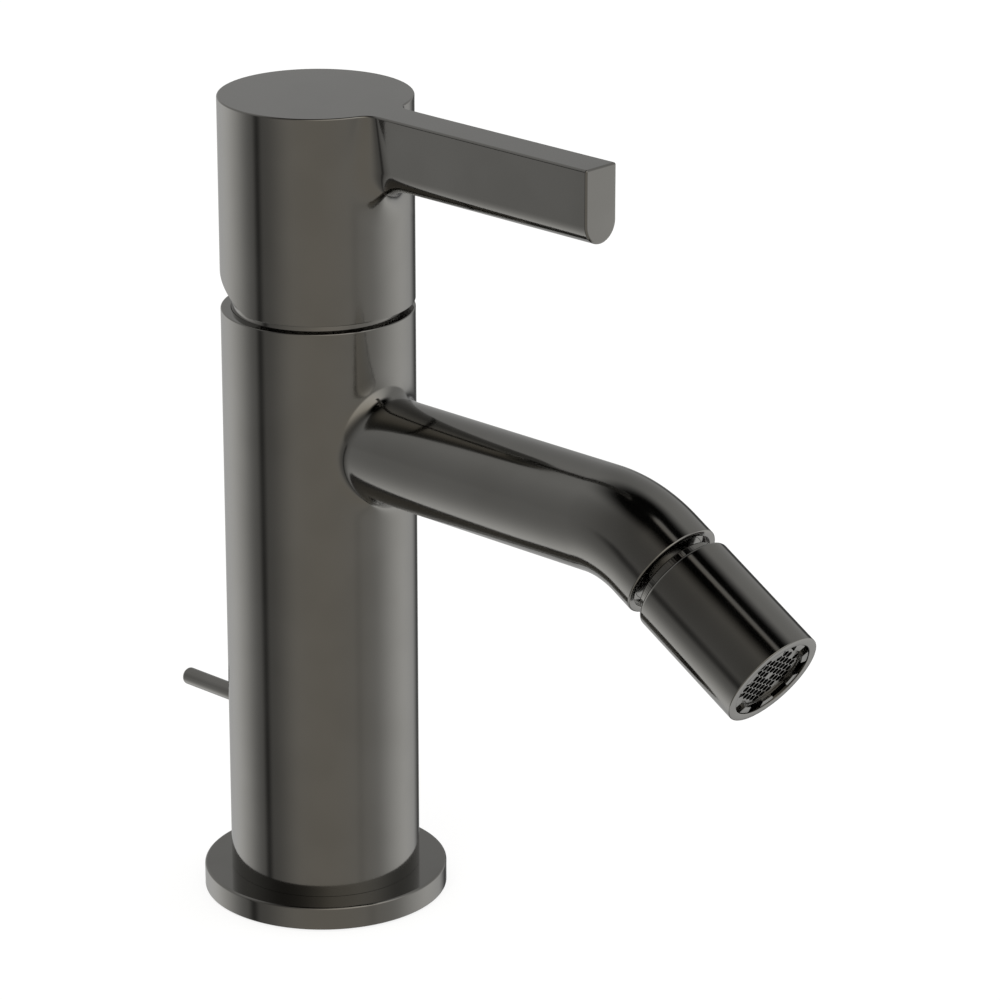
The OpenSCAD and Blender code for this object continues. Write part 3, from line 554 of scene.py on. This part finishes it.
def makeBodyAndSpout():
    b, s, skin = tapBody, spout, Skin()
    radius, axis = b["radius"], s["axis"]
    half, margin, around, rings, fillet, wallSteps = 20.0, 4, 192, 10, 12, 10
    angles = [2 * math.pi * j / around for j in range(around)]
    edges = [squareEdge(a, half) for a in angles]
    blockU, blockZ = blockLines(edges, half)
    columns = blockU + fillRound(half, radius)
    levels = [b["foot"] + b["footEdge"]]
    levels += list(np.linspace(b["wallStart"], axis - half - margin, wallSteps))
    levels += [axis + z for z in blockZ] + [axis + half + margin, b["top"] - b["topEdge"]]
    # a square block of the wall is left to the spout's root
    at = wallGrid(skin, radius, columns, levels,
                  lambda u, z: abs(u) < half and abs(z - axis) < half)
    blends = [rollingBlend(np.array([math.cos(a), math.sin(a)]) * s["radius"] + [0, axis],
                           np.array([math.cos(a), math.sin(a)]), radius, s["fillet"], fillet, s["pull"])
              for a in angles]
    rows = blendRows(skin, at, radius, axis, edges, blends, rings)
    # level stretch, bend and end
    levelSteps, bendSteps = 10, 24
    x, up = s["radius"] * np.cos(angles), s["radius"] * np.sin(angles)
    for y in np.linspace(s["levelStart"], s["reach"] - bendTan, levelSteps):
        rows.append(skin.row(np.stack([x, np.full(around, -y), axis + up], -1)))
    bendMiddle = axis - s["bendRadius"]
    for t in np.radians(np.linspace(0, s["bend"], bendSteps + 1))[1:]:
        far = s["bendRadius"] + up
        rows.append(skin.row(np.stack([x, -(s["reach"] - bendTan) - far * math.sin(t),
                                       bendMiddle + far * math.cos(t)], -1)))
    end = rounded([(s["radius"], spoutEnd - s["endRing"], 0), (s["radius"], spoutEnd, s["endEdge"]),
                   (s["recessRadius"], spoutEnd, s["recessEdge"]),
                   (s["recessRadius"], spoutEnd - s["recess"], s["recessFoot"]),
                   (s["socketRadius"], spoutEnd - s["recess"], 0),
                   (s["socketRadius"], spoutEnd - s["socket"], 0)])
    for r, h in end:
        rows.append(skin.row(onNozzleAxis(r * np.cos(angles), r * np.sin(angles), np.full(around, h))))
    skin.rows(rows)
    skin.pole(rows[-1], onNozzleAxis(0, 0, spoutEnd - s["socket"]))
    # foot, hollow and top are rings on the wall's own columns
    turn = np.array(columns) / radius
    foot = rounded([(radius, levels[1], 0), (radius, b["foot"], b["footEdge"]),
                    (b["spigotRadius"], b["foot"], 0), (b["spigotRadius"], b["spigotFoot"], 0),
                    (b["cavityRadius"], b["spigotFoot"], 0), (b["cavityRadius"], b["seat"], 0)])
    top = rounded([(radius, levels[-2], 0), (radius, b["top"], b["topEdge"]),
                   (b["nutRadius"], b["top"], b["nutEdge"]), (b["nutRadius"], b["shoulder"], 0),
                   (b["seatRadius"], b["shoulder"], 0), (b["seatRadius"], b["seat"], 0)])
    inside = [ringRow(skin, turn, r, h) for r, h in foot[2:] + top[:1:-1]]
    skin.rows([[at(u, levels[0]) for u in columns]] + inside + [[at(u, levels[-1]) for u in columns]])
    return makeMesh("mixerBody", skin)


def block(name, low, high):
    skin = Skin()
    (x0, y0, z0), (x1, y1, z1) = low, high
    bottom = skin.row([(x0, y0, z0), (x1, y0, z0), (x1, y1, z0), (x0, y1, z0)])
    top = skin.row([(x0, y0, z1), (x1, y0, z1), (x1, y1, z1), (x0, y1, z1)])
    skin.strip(bottom, top)
    skin.faces += [tuple(reversed(bottom)), tuple(top)]
    return makeMesh(name, skin)


past = 1.0  # how far a tool runs past what it cuts or joins


def rod(name, radius, low, high, place=upright):
    return lathe(name, [(0, low), (radius, low), (radius, high), (0, high)], place, smallRound, False)


def finishBody():
    b = tapBody
    body = makeBodyAndSpout()
    aside = lambda x, y, z: upright(x, y + b["studY"], z)
    cut(body, rod("boss", b["bossRadius"], b["bossFoot"], b["cavityTop"] + past, aside), "UNION")
    cut(body, block("web", (-b["webWidth"] / 2, -b["cavityRadius"] - past, b["bossFoot"]),
                    (b["webWidth"] / 2, b["studY"], b["cavityTop"] + past)), "UNION")
    cut(body, rod("studHole", b["studRadius"], b["bossFoot"] - past, b["bossFoot"] + b["studDepth"], aside))
    # the lift rod's slot, as a stadium along +Y
    skin, outline, slotSteps = Skin(), [], 24
    for middle, first in ((b["slotHigh"], 0), (b["slotLow"], 180)):
        for a in np.radians(np.linspace(first, first + 180, slotSteps + 1)):
            outline.append((b["slotRadius"] * math.cos(a), middle + b["slotRadius"] * math.sin(a)))
    near = skin.row([(x, b["cavityRadius"] - b["slotDepth"], z) for x, z in outline])
    far = skin.row([(x, b["radius"] + 2 * past, z) for x, z in outline])
    skin.strip(near, far)
    skin.faces += [tuple(near), tuple(far)]
    cut(body, makeMesh("slot", skin))
    return dress(body, "darkMetal", "dark_metal", "tap_body", "mixer_body", "spout")


finishBody()
print("body and spout made")

# lever handle: cap, blade and their blend in one smooth skin
handle = {
    "radius": 22.0, "foot": 143.3, "top": 190.7, "capEdge": 0.4, "bladeEdge": 0.5, "footEdge": 0.2,
    "edgeFade": 8.0, "bladeHalf": 4.7, "bladeMiddle": 178.4, "bladeStart": 33.0, "bladeEnd": 86.15,
    "endEdge": 0.5, "skirt": 157.0, "footRing": 3.0, "topFillet": 5.0, "lowFillet": 10.0, "pull": 0.74,
    "lift": 25.0, "cavityRadius": 19.0, "roof": 186.7, "bossRadius": 9.0, "bossFoot": 154.5,
    "shankRadius": 5.2, "shankTop": 167.5, "screw": 160.2, "plugRadius": 3.0, "plugDepth": 3.4,
    "plugGap": 0.04, "plugEdge": 0.25,
}


def makeHandle():
    g, skin = handle, Skin()
    radius, middle, half, rings, fillet = g["radius"], g["bladeMiddle"], 16.0, 8, 12
    straight, arc, bladeSteps, edgeSteps = 8, 48, 8, 5
    top = g["top"] - g["capEdge"]
    # the blade's outline as (x, z), its normal, and the point on the block's edge that it belongs to
    path = []
    for k in range(straight):
        z = top + (middle - top) * k / straight
        path.append(((-g["bladeHalf"], z), (-1, 0), (-half, z - middle)))
    for j in range(arc + 1):
        a = math.pi * (j / arc - 1)
        n = np.array([math.cos(a), math.sin(a)])
        path.append((n * g["bladeHalf"] + [0, middle], n, squareEdge(a, half)))
    for k in range(1, straight + 1):
        z = middle + (top - middle) * k / straight
        path.append(((g["bladeHalf"], z), (1, 0), (half, z - middle)))
    edges = [e for _, _, e in path]
    blockU, blockZ = blockLines(edges, half)
    columns = blockU + fillRound(half, radius)
    turn = np.array(columns) / radius

    def rim(y):  # the cap's lower edge, cut away behind the axis so that the lever can lift
        return g["foot"] + np.maximum(0, y) * math.tan(math.radians(g["lift"]))

    levels = [middle + z for z in blockZ]
    # a block of the wall, open at the cap's top, is left to the blade's root
    at = wallGrid(skin, radius, columns, levels, lambda u, z: abs(u) < half)

    def blendSize(z):  # the blend grows from the cap's top down to the blade's round underside
        share = min(1, max(0, (top - z) / (top - middle)))
        return g["topFillet"] + (g["lowFillet"] - g["topFillet"]) * share

    blends = [rollingBlend(np.array(p), np.array(n), radius, blendSize(p[1]), fillet, g["pull"])
              for p, n, _ in path]
    rows = blendRows(skin, at, radius, middle, edges, blends, rings)
    last = g["bladeEnd"] - g["endEdge"]
    for y in np.linspace(g["bladeStart"], last, bladeSteps):
        rows.append(skin.row([(p[0], -y, p[1]) for p, _, _ in path]))
    skin.rows(rows, closed=False)
    # the top edge runs round cap, blends and blade, from the blade's right end to its left
    right = [row[-1] for row in reversed(rows[1:])]
    left = [row[0] for row in rows[1:]]
    back = [at(u, levels[-1]) for u in columns[len(blockU) - 1:] + columns[:1]]
    outline = right + back + left

    def planNormal(before, p, after):
        near = 1e-3
        if math.hypot(p[0], p[1]) < radius + near:
            return p[:2] / radius
        if abs(abs(p[0]) - g["bladeHalf"]) < near:
            return np.array([math.copysign(1, p[0]), 0])
        n = np.array([after[1] - before[1], before[0] - after[0]])
        return n / np.linalg.norm(n)

    def edgeSize(y):  # the top edge's size, which runs from the cap's to the blade's
        share = np.clip((-y - radius) / g["edgeFade"], 0, 1)
        return g["capEdge"] + (g["bladeEdge"] - g["capEdge"]) * share

    points = [np.array(skin.points[i]) for i in outline]
    normals = [planNormal(*three) for three in zip(points[:1] + points, points, points[1:] + points[-1:])]
    turns = [math.pi / 2 * k / edgeSteps for k in range(edgeSteps + 1)]
    edgeRows = [outline]
    for t in turns:
        row = []
        for p, n in zip(points, normals):
            e = edgeSize(p[1])
            row.append((p[0] - n[0] * e * (1 - math.cos(t)), p[1] - n[1] * e * (1 - math.cos(t)),
                        g["top"] - e + e * math.sin(t)))
        edgeRows.append(skin.row(row))
    skin.rows(edgeRows, closed=False)
    skin.faces.append(tuple(edgeRows[-1]))
    # the blade's end: its whole outline drawn in as it goes out
    section = list(rows[-1]) + [r[0] for r in edgeRows[1:]] + [r[-1] for r in reversed(edgeRows[1:])]
    sectionPoints = [np.array(skin.points[i]) for i in section]
    sectionNormals = [np.array([n[0], n[1]]) for _, n, _ in path]
    sectionNormals += [np.array([math.cos(t), math.sin(t)]) for t in turns]
    sectionNormals += [np.array([-math.cos(t), math.sin(t)]) for t in reversed(turns)]
    endRows, e = [section], g["endEdge"]
    for t in turns[1:]:
        endRows.append(skin.row([(p[0] - n[0] * e * (1 - math.cos(t)), -last - e * math.sin(t),
                                  p[2] - n[1] * e * (1 - math.cos(t)))
                                 for p, n in zip(sectionPoints, sectionNormals)]))
    skin.rows(endRows)
    skin.faces.append(tuple(endRows[-1]))
    # down the cap's wall to its foot, then up inside
    wall = [[at(u, levels[0]) for u in columns], ringRow(skin, turn, radius, g["skirt"])]
    lowEdge = rounded([(radius, g["footRing"], 0), (radius, 0, g["footEdge"]), (g["cavityRadius"], 0, 0)])
    wall += [ringRow(skin, turn, r, lambda y: rim(y) + rise) for r, rise in lowEdge]
    for r, z in ((g["cavityRadius"], g["roof"]), (g["bossRadius"], g["roof"]),
                 (g["bossRadius"], g["bossFoot"]), (g["shankRadius"], g["bossFoot"]),
                 (g["shankRadius"], g["shankTop"])):
        wall.append(ringRow(skin, turn, r, z))
    skin.rows(wall)
    skin.pole(wall[-1], (0, 0, g["shankTop"]))
    lever = makeMesh("leverHandle", skin)
    across = lambda x, y, z: np.stack([x, z, g["screw"] + y], -1)
    cut(lever, rod("plugHole", g["plugRadius"], g["cavityRadius"] - 3 * past,
                   radius + 2 * past, across))
    return dress(lever, "darkMetal", "dark_metal", "handle", "lever_handle")


makeHandle()
print("lever handle made")


def makePlug():  # its face follows the cap's round wall
    g, skin = handle, Skin()
    radius, steps = g["plugRadius"] - g["plugGap"], 64
    angle = np.linspace(0, 2 * math.pi, steps, endpoint=False)
    rows = [skin.row(np.stack([radius * np.cos(angle), np.full(steps, g["radius"] - g["plugDepth"]),
                               g["screw"] + radius * np.sin(angle)], -1))]
    edge = g["plugEdge"]
    for r, sink in ((radius, edge), (radius - 0.28 * edge, 0.28 * edge), (radius - edge, 0.0),
                    (radius * 0.6, 0.0), (radius * 0.25, 0.0)):
        x, z = r * np.cos(angle), g["screw"] + r * np.sin(angle)
        rows.append(skin.row(np.stack([x, np.sqrt(g["radius"] ** 2 - x * x) - sink, z], -1)))
    skin.rows(rows)
    skin.pole(rows[-1], (0, g["radius"], g["screw"]))
    skin.faces.append(tuple(rows[0]))
    return dress(makeMesh("screwCoverPlug", skin), "darkMetal", "dark_metal", "handle", "screw_cover_plug")


makePlug()
print("plug made")

plate = {"radius": 28.35, "bore": 20.1, "height": 5.5, "edge": 0.55, "footEdge": 0.3, "boreEdge": 0.1,
         "gasketIn": 22.2025, "gasketOut": 26.245, "groove": 2.0}


def makePlate():
    p = plate
    profile = rounded([
        (p["radius"], 0, p["footEdge"]), (p["radius"], p["height"], p["edge"]),
        (p["bore"], p["height"], p["boreEdge"]),
        (p["bore"], 0, 0), (p["gasketIn"], 0, 0), (p["gasketIn"], p["groove"], 0),
        (p["gasketOut"], p["groove"], 0), (p["gasketOut"], 0, 0)])
    dress(lathe("basePlate", profile, steps=fineRound), "darkMetal", "dark_metal", "tap_body", "base_plate")


makePlate()

collar = {"radius": 19.65, "topRadius": 19.35, "foot": 141.4, "ring": 1.7, "dome": 2.6,
          "domeFoot": 17.8, "domeTop": 13.8, "bore": 12.7, "ringEdge": 0.2, "footBlend": 0.3,
          "topBlend": 0.4}


def makeCollar():
    c = collar
    profile = rounded([
        (c["bore"], c["foot"], 0), (c["radius"], c["foot"], 0),
        (c["topRadius"], c["foot"] + c["ring"], c["ringEdge"]),
        (c["domeFoot"], c["foot"] + c["ring"], c["footBlend"]),
        (c["domeTop"], c["foot"] + c["dome"], c["topBlend"]), (c["bore"], c["foot"] + c["dome"], 0)])
    dress(lathe("trimCollar", profile), "darkMetal", "dark_metal", "tap_body", "trim_collar")


makeCollar()

liftRod = {"radius": 2.05, "start": 13.0, "startEdge": 0.2, "tip": 46.7, "tipEdge": 0.8, "height": 38.75}


def makeLiftRod():
    r = liftRod
    along = lambda x, y, z: np.stack([x, z, r["height"] + y], -1)
    profile = rounded([(0, r["start"], 0), (r["radius"], r["start"], r["startEdge"]),
                       (r["radius"], r["tip"], r["tipEdge"]), (0, r["tip"], 0)])
    dress(lathe("liftRod", profile, along, smallRound, False), "darkMetal", "dark_metal", "waste_rod",
          "lift_rod")


makeLiftRod()
print("plate, collar and lift rod made")

# nozzle, with places along its axis from the corner of the spout's centre line
nozzle = {
    "radius": 12.05, "gap": 3.3, "length": 29.9, "topEdge": 0.8, "endEdge": 0.25, "ballDepth": 5.0,
    "ringRadius": 9.9, "ringRise": 2.2, "ringHole": 6.75, "ringEdge": 0.35, "holeEdge": 0.3,
    "ringGap": 0.1, "socketEdge": 0.15, "seatBottom": 7.0, "throat": 6.6,
    "mouth": 10.05, "mouthEdge": 0.15, "mouthDepth": 13.2, "knurls": 96, "knurlDepth": 0.02,
    "linerOut": 8.86, "linerGap": 0.06,
}
shellTop = spoutEnd + nozzle["gap"]
shellEnd = shellTop + nozzle["length"]
ballPlace = shellTop + nozzle["ballDepth"]


def makeNozzleShell():
    n = nozzle
    ledge = ballPlace + n["seatBottom"]
    profile = rounded([
        (n["radius"], shellTop, n["topEdge"]), (n["radius"], shellEnd, n["endEdge"]),
        (n["mouth"], shellEnd, n["mouthEdge"]), (n["mouth"], shellEnd - n["mouthDepth"], 0),
        (n["throat"], shellEnd - n["mouthDepth"], 0), (n["throat"], ledge, 0),
        (n["ringRadius"] + n["ringGap"], ledge, 0),
        (n["ringRadius"] + n["ringGap"], shellTop, n["socketEdge"])])
    dress(lathe("nozzleShell", profile, onNozzleAxis, fineRound), "darkMetal", "dark_metal", "nozzle",
          "nozzle_shell")


makeNozzleShell()


def makeRetainingRing():
    n = nozzle
    outer = ballPlace - n["ballDepth"] - n["ringRise"]
    seat, short, bowlSteps = n["linerOut"] + n["linerGap"], 0.2, 12  # short of the ball's middle
    first, last = math.asin(n["ringHole"] / seat), math.acos(short / seat)
    bowl = [(seat * math.sin(a), ballPlace - seat * math.cos(a), 0)
            for a in np.linspace(first, last, bowlSteps + 1)]
    knurlFoot = shellTop + n["ringGap"]
    profile = rounded([(n["ringRadius"], ballPlace - short, 0), (n["ringRadius"], knurlFoot, 0),
                       (n["ringRadius"], outer, n["ringEdge"]),
                       (n["ringHole"], outer, n["holeEdge"])] + bowl)

    def knurl(angle, r, h):  # waves on the wall above the shell only
        if r < n["ringRadius"] - tiny or h > knurlFoot - tiny:
            return 0 * angle
        return -n["knurlDepth"] * (1 + np.cos(n["knurls"] * angle)) / 2

    waveSteps = 6
    dress(lathe("ballRetainingRing", profile, onNozzleAxis, n["knurls"] * waveSteps, radial=knurl),
          "darkMetal", "dark_metal", "nozzle", "ball_retaining_ring")


makeRetainingRing()
print("nozzle shell and retaining ring made")

aerator = {
    "radius": 9.93, "length": 12.0, "recess": 0.2, "startEdge": 0.2, "edge": 0.1,
    "wallIn": 8.25, "ledge": 1.0, "lip": 0.3, "lipDrop": 0.85,
    "notches": 8, "notchWidth": 3.9, "notchDepth": 1.7, "boxReach": 2.0,
    "combRadius": 8.2, "combRecess": 1.1, "combThick": 2.0, "combFoot": 0.05, "combEdge": 0.1,
    "cell": 1.8, "wall": 0.22, "rim": 0.05, "spareCells": 5,
    "solidCells": [(0, 0), (3, 2.5), (3, -2.5)],  # left unpierced, as (column, step)
}
aeratorEnd = shellEnd - aerator["recess"]


def newTree(name, inputs):  # inputs gives each input's name and kind
    tree = bpy.data.node_groups.new(name, "GeometryNodeTree")
    tree.interface.new_socket("Geometry", in_out="OUTPUT", socket_type="NodeSocketGeometry")
    for title, kind in inputs.items():
        tree.interface.new_socket(title, in_out="INPUT", socket_type="NodeSocket" + kind)
    return tree


def grow(name, tree, values):
    # runs a tree on an empty mesh with these values and keeps what it makes as a plain mesh
    piece = bpy.data.objects.new(name, bpy.data.meshes.new(name))
    scene.collection.objects.link(piece)
    step = piece.modifiers.new("grow", "NODES")
    step.node_group = tree
    for socket in tree.interface.items_tree:
        if socket.in_out == "INPUT":
            step[socket.identifier] = values[socket.name]
    settle(piece)
    return piece


def placeOnAxis(piece, s):  # moves a mesh drawn round +Z to its place on the nozzle's axis
    t = Matrix.Rotation(math.radians(90 + spout["bend"]), 4, "X")
    origin = Matrix.Translation(Vector((0, -spout["reach"], spout["axis"])) * mm)
    piece.data.transform(origin @ t @ Matrix.Translation((0, 0, s * mm)))


def handOut(start, given, copies):  # makes a tree's copies real, paints them and gives them out
    real = start.node("GeometryNodeRealizeInstances", None, {"Geometry": copies})
    painted = start.node("GeometryNodeSetMaterial", None,
                         {"Geometry": real, "Material": given.out("Material")})
    start.node("NodeGroupOutput", None, {"Geometry": painted})


def makeComb():
    # hexagonal prisms in staggered columns, kept where a cell fits wholly inside the rim and isn't
    # one of those that the real disc leaves unpierced
    a = aerator
    tree = newTree("honeycomb", {"Cell pitch": "Float", "Cell wall": "Float", "Reach": "Float",
                                 "Depth": "Float", "Material": "Material"})
    start = Wire(tree)
    given = start.node("NodeGroupInput")
    pitch = given.out("Cell pitch")
    count = 2 * math.ceil(a["combRadius"] / a["cell"]) + a["spareCells"]
    tall = math.sin(math.pi / 3)
    grid = start.node("GeometryNodeMeshGrid", None, {
        "Size X": pitch * float(count - 1), "Size Y": pitch * float((count - 1) * tall),
        "Vertices X": count, "Vertices Y": count})
    line = start.maths("MODULO", start.node("GeometryNodeInputIndex"), float(count))
    middle = (count - 1) // 2
    shift = start.maths("MODULO", line + float(middle % 2), 2.0) * pitch * 0.5
    moved = start.node("GeometryNodeSetPosition", None, {
        "Geometry": grid, "Offset": start.node("ShaderNodeCombineXYZ", None, {"X": shift})})
    turned = start.node("GeometryNodeTransform", None, {"Geometry": moved, "Rotation": (0, 0, math.pi / 2)})

    def away(column, step):  # distance from a cell's middle
        middle = start.node("ShaderNodeCombineXYZ", None,
                            {"X": pitch * float(column * tall), "Y": pitch * float(step)})
        return start.node("ShaderNodeVectorMath", {"operation": "DISTANCE"},
                          {0: start.node("GeometryNodeInputPosition"), 1: middle}, "Value")

    dropped = start.maths("GREATER_THAN", away(0, 0), given.out("Reach") - pitch * 0.5)
    for place in a["solidCells"]:
        dropped = dropped + start.maths("LESS_THAN", away(*place), pitch * 0.3)
    kept = start.node("GeometryNodeDeleteGeometry", {"domain": "POINT"},
                      {"Geometry": turned, "Selection": dropped})
    cell = start.node("GeometryNodeMeshCylinder", {"fill_type": "NGON"}, {
        "Vertices": 6, "Radius": (pitch - given.out("Cell wall")) * (0.5 / math.cos(math.pi / 6)),
        "Depth": given.out("Depth")})
    handOut(start, given,
            start.node("GeometryNodeInstanceOnPoints", None, {"Points": kept, "Instance": cell}))
    cells = grow("cells", tree, {
        "Cell pitch": a["cell"] * mm, "Cell wall": a["wall"] * mm,
        "Reach": (a["combRadius"] - a["rim"]) * mm, "Depth": (a["combThick"] + 2 * past) * mm,
        "Material": finishes["aeratorPlastic"]})
    face = aeratorEnd - a["combRecess"]
    placeOnAxis(cells, face - a["combThick"] / 2)
    profile = rounded([(0, face - a["combThick"], 0),
                       (a["combRadius"], face - a["combThick"], a["combFoot"]),
                       (a["combRadius"], face, a["combEdge"]), (0, face, 0)])
    disc = lathe("aeratorHoneycomb", profile, onNozzleAxis, combRound, False)
    cut(disc, cells)
    dress(disc, "aeratorPlastic", "aerator_plastic", "nozzle", "aerator_honeycomb")


makeComb()


def makeNotchCutter(inner, depth):
    # boxes set round a circle, each turned to face outwards
    a = aerator
    tree = newTree("box ring", {"Count": "Int", "Ring radius": "Float", "Box reach": "Float",
                                "Box width": "Float", "Box height": "Float", "Material": "Material"})
    start = Wire(tree)
    given = start.node("NodeGroupInput")
    circle = start.node("GeometryNodeMeshCircle", None,
                        {"Vertices": given.out("Count"), "Radius": given.out("Ring radius")})
    size = start.node("ShaderNodeCombineXYZ", None, {
        "X": given.out("Box reach"), "Y": given.out("Box width"), "Z": given.out("Box height")})
    box = start.node("GeometryNodeMeshCube", None, {"Size": size})
    step = start.maths("DIVIDE", 2 * math.pi, given.out("Count"))
    turn = start.node("ShaderNodeCombineXYZ", None, {"Z": start.node("GeometryNodeInputIndex") * step})
    handOut(start, given, start.node("GeometryNodeInstanceOnPoints", None,
                                     {"Points": circle, "Instance": box, "Rotation": turn}))
    boxes = grow("notches", tree, {
        "Count": a["notches"], "Ring radius": (inner + a["boxReach"] / 2) * mm,
        "Box reach": a["boxReach"] * mm, "Box width": a["notchWidth"] * mm,
        "Box height": 2 * depth * mm, "Material": finishes["aeratorPlastic"]})
    placeOnAxis(boxes, aeratorEnd)
    return boxes


def makeAerator():
    a = aerator
    start, shelf = aeratorEnd - a["length"], aeratorEnd - a["combRecess"] - a["combThick"]
    inner = a["wallIn"] - a["ledge"]
    profile = rounded([
        (inner, start, 0), (a["radius"], start, a["startEdge"]), (a["radius"], aeratorEnd, a["edge"]),
        (a["wallIn"], aeratorEnd, a["edge"]), (a["wallIn"], shelf, 0), (inner, shelf, 0)])
    housing = lathe("aeratorHousing", profile, onNozzleAxis)
    cut(housing, makeNotchCutter(inner, a["lipDrop"]))  # down to the thin lip round the comb
    cut(housing, makeNotchCutter(a["wallIn"] + a["lip"], a["notchDepth"]))
    dress(housing, "aeratorPlastic", "aerator_plastic", "nozzle", "aerator_housing")


makeAerator()
